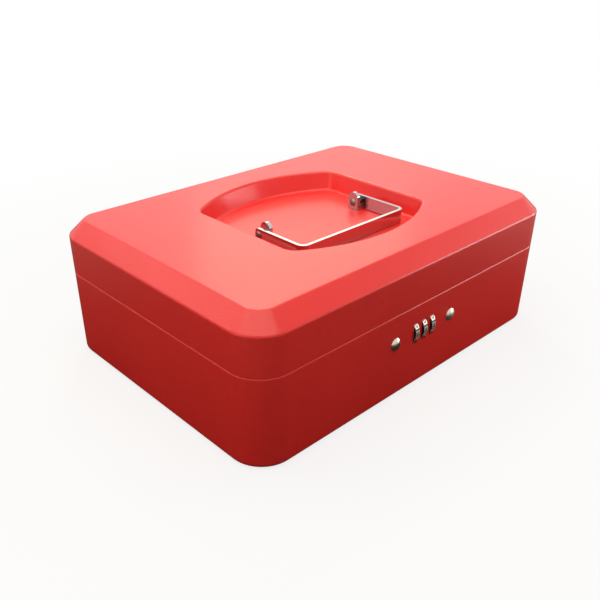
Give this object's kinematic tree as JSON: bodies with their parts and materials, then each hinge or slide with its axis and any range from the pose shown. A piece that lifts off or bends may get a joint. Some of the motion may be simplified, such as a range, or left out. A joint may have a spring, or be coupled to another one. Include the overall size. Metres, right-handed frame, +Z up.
{
  "type": "cash box",
  "caption": "Steel cash box with a bevelled hinged lid, number-dial lock in the front, folding carrying handle in a dish and a lift-out coin tray.",
  "frame": {"origin": "middle of the footprint, on the surface that the box stands on", "axes": "+X along the width to the right as seen from the dials, -Y out of the front with the dials, +Z up"},
  "size_m": [0.25, 0.1866, 0.085],
  "materials": {
    "red_coat": "satin powder coat",
    "pin_steel": "bright",
    "zinc_plate": "zinc plated",
    "spring_steel": "bright",
    "rivet_chrome": "polished",
    "handle_chrome": "polished",
    "lock_black": "matte",
    "dial_chrome": "satin chrome with black digits",
    "sleeve_brass": "satin",
    "lever_orange": "matte",
    "tray_black": "fine texture"
  },
  "bodies": {
    "base": {"base_shell": "red_coat", "base_hinge_leaf_left": "red_coat", "base_hinge_leaf_right": "red_coat", "base_hinge_rivets": "red_coat", "hinge_pin_left": "pin_steel", "hinge_pin_right": "pin_steel", "lock_frame": "lock_black", "lock_spindle": "pin_steel", "detent_spring": "spring_steel", "lock_cover": "lock_black", "lock_cover_screws": "pin_steel", "lock_rivet_left": "rivet_chrome", "lock_rivet_right": "rivet_chrome"},
    "lid": {"lid_shell": "red_coat", "lid_hinge_leaf_left": "red_coat", "lid_hinge_leaf_right": "red_coat", "lid_hinge_rivets": "red_coat", "strike_comb": "zinc_plate", "handle_ear_left": "handle_chrome", "handle_ear_right": "handle_chrome", "handle_pivot_left": "handle_chrome", "handle_pivot_right": "handle_chrome"},
    "handle": {"carry_handle": "handle_chrome"},
    "lever": {"reset_lever": "lever_orange"},
    "tray": {"coin_tray": "tray_black"},
    "dial_1": {"dial_wheel_1": "dial_chrome"},
    "sleeve_1": {"cam_sleeve_1": "sleeve_brass"},
    "dial_2": {"dial_wheel_2": "dial_chrome"},
    "sleeve_2": {"cam_sleeve_2": "sleeve_brass"},
    "dial_3": {"dial_wheel_3": "dial_chrome"},
    "sleeve_3": {"cam_sleeve_3": "sleeve_brass"}
  },
  "joints": [
    {"name": "lid_hinge", "type": "hinge", "parent": "base", "child": "lid", "pos_m": [0, 0.09255, 0.054], "axis": [-1, 0, 0], "range_deg": [0, 100]},
    {"name": "handle_fold", "type": "hinge", "parent": "lid", "child": "handle", "pos_m": [0, 0, 0.0776], "axis": [-1, 0, 0], "range_deg": [0, 180]},
    {"name": "tray_lift", "type": "slide", "parent": "base", "child": "tray", "axis": [0, 0, 1], "range_m": [0, 0.008]},
    {"name": "reset_lever_slide", "type": "slide", "parent": "base", "child": "lever", "axis": [0, 0, 1], "range_m": [0, 0.004]},
    {"name": "dial_1_spin", "type": "hinge", "parent": "base", "child": "dial_1", "pos_m": [-0.0074, -0.0825, 0.0355], "axis": [1, 0, 0], "continuous": true},
    {"name": "sleeve_1_shift", "type": "slide", "parent": "dial_1", "child": "sleeve_1", "axis": [1, 0, 0], "range_m": [0, 0.0007]},
    {"name": "dial_2_spin", "type": "hinge", "parent": "base", "child": "dial_2", "pos_m": [0, -0.0825, 0.0355], "axis": [1, 0, 0], "continuous": true},
    {"name": "sleeve_2_shift", "type": "slide", "parent": "dial_2", "child": "sleeve_2", "axis": [1, 0, 0], "range_m": [0, 0.0007]},
    {"name": "dial_3_spin", "type": "hinge", "parent": "base", "child": "dial_3", "pos_m": [0.0074, -0.0825, 0.0355], "axis": [1, 0, 0], "continuous": true},
    {"name": "sleeve_3_shift", "type": "slide", "parent": "dial_3", "child": "sleeve_3", "axis": [1, 0, 0], "range_m": [0, 0.0007]}
  ],
  "couplings": [
    {"joint": "sleeve_1_shift", "follows": "reset_lever_slide", "ratio": 0.175},
    {"joint": "sleeve_2_shift", "follows": "reset_lever_slide", "ratio": 0.175},
    {"joint": "sleeve_3_shift", "follows": "reset_lever_slide", "ratio": 0.175}
  ]
}
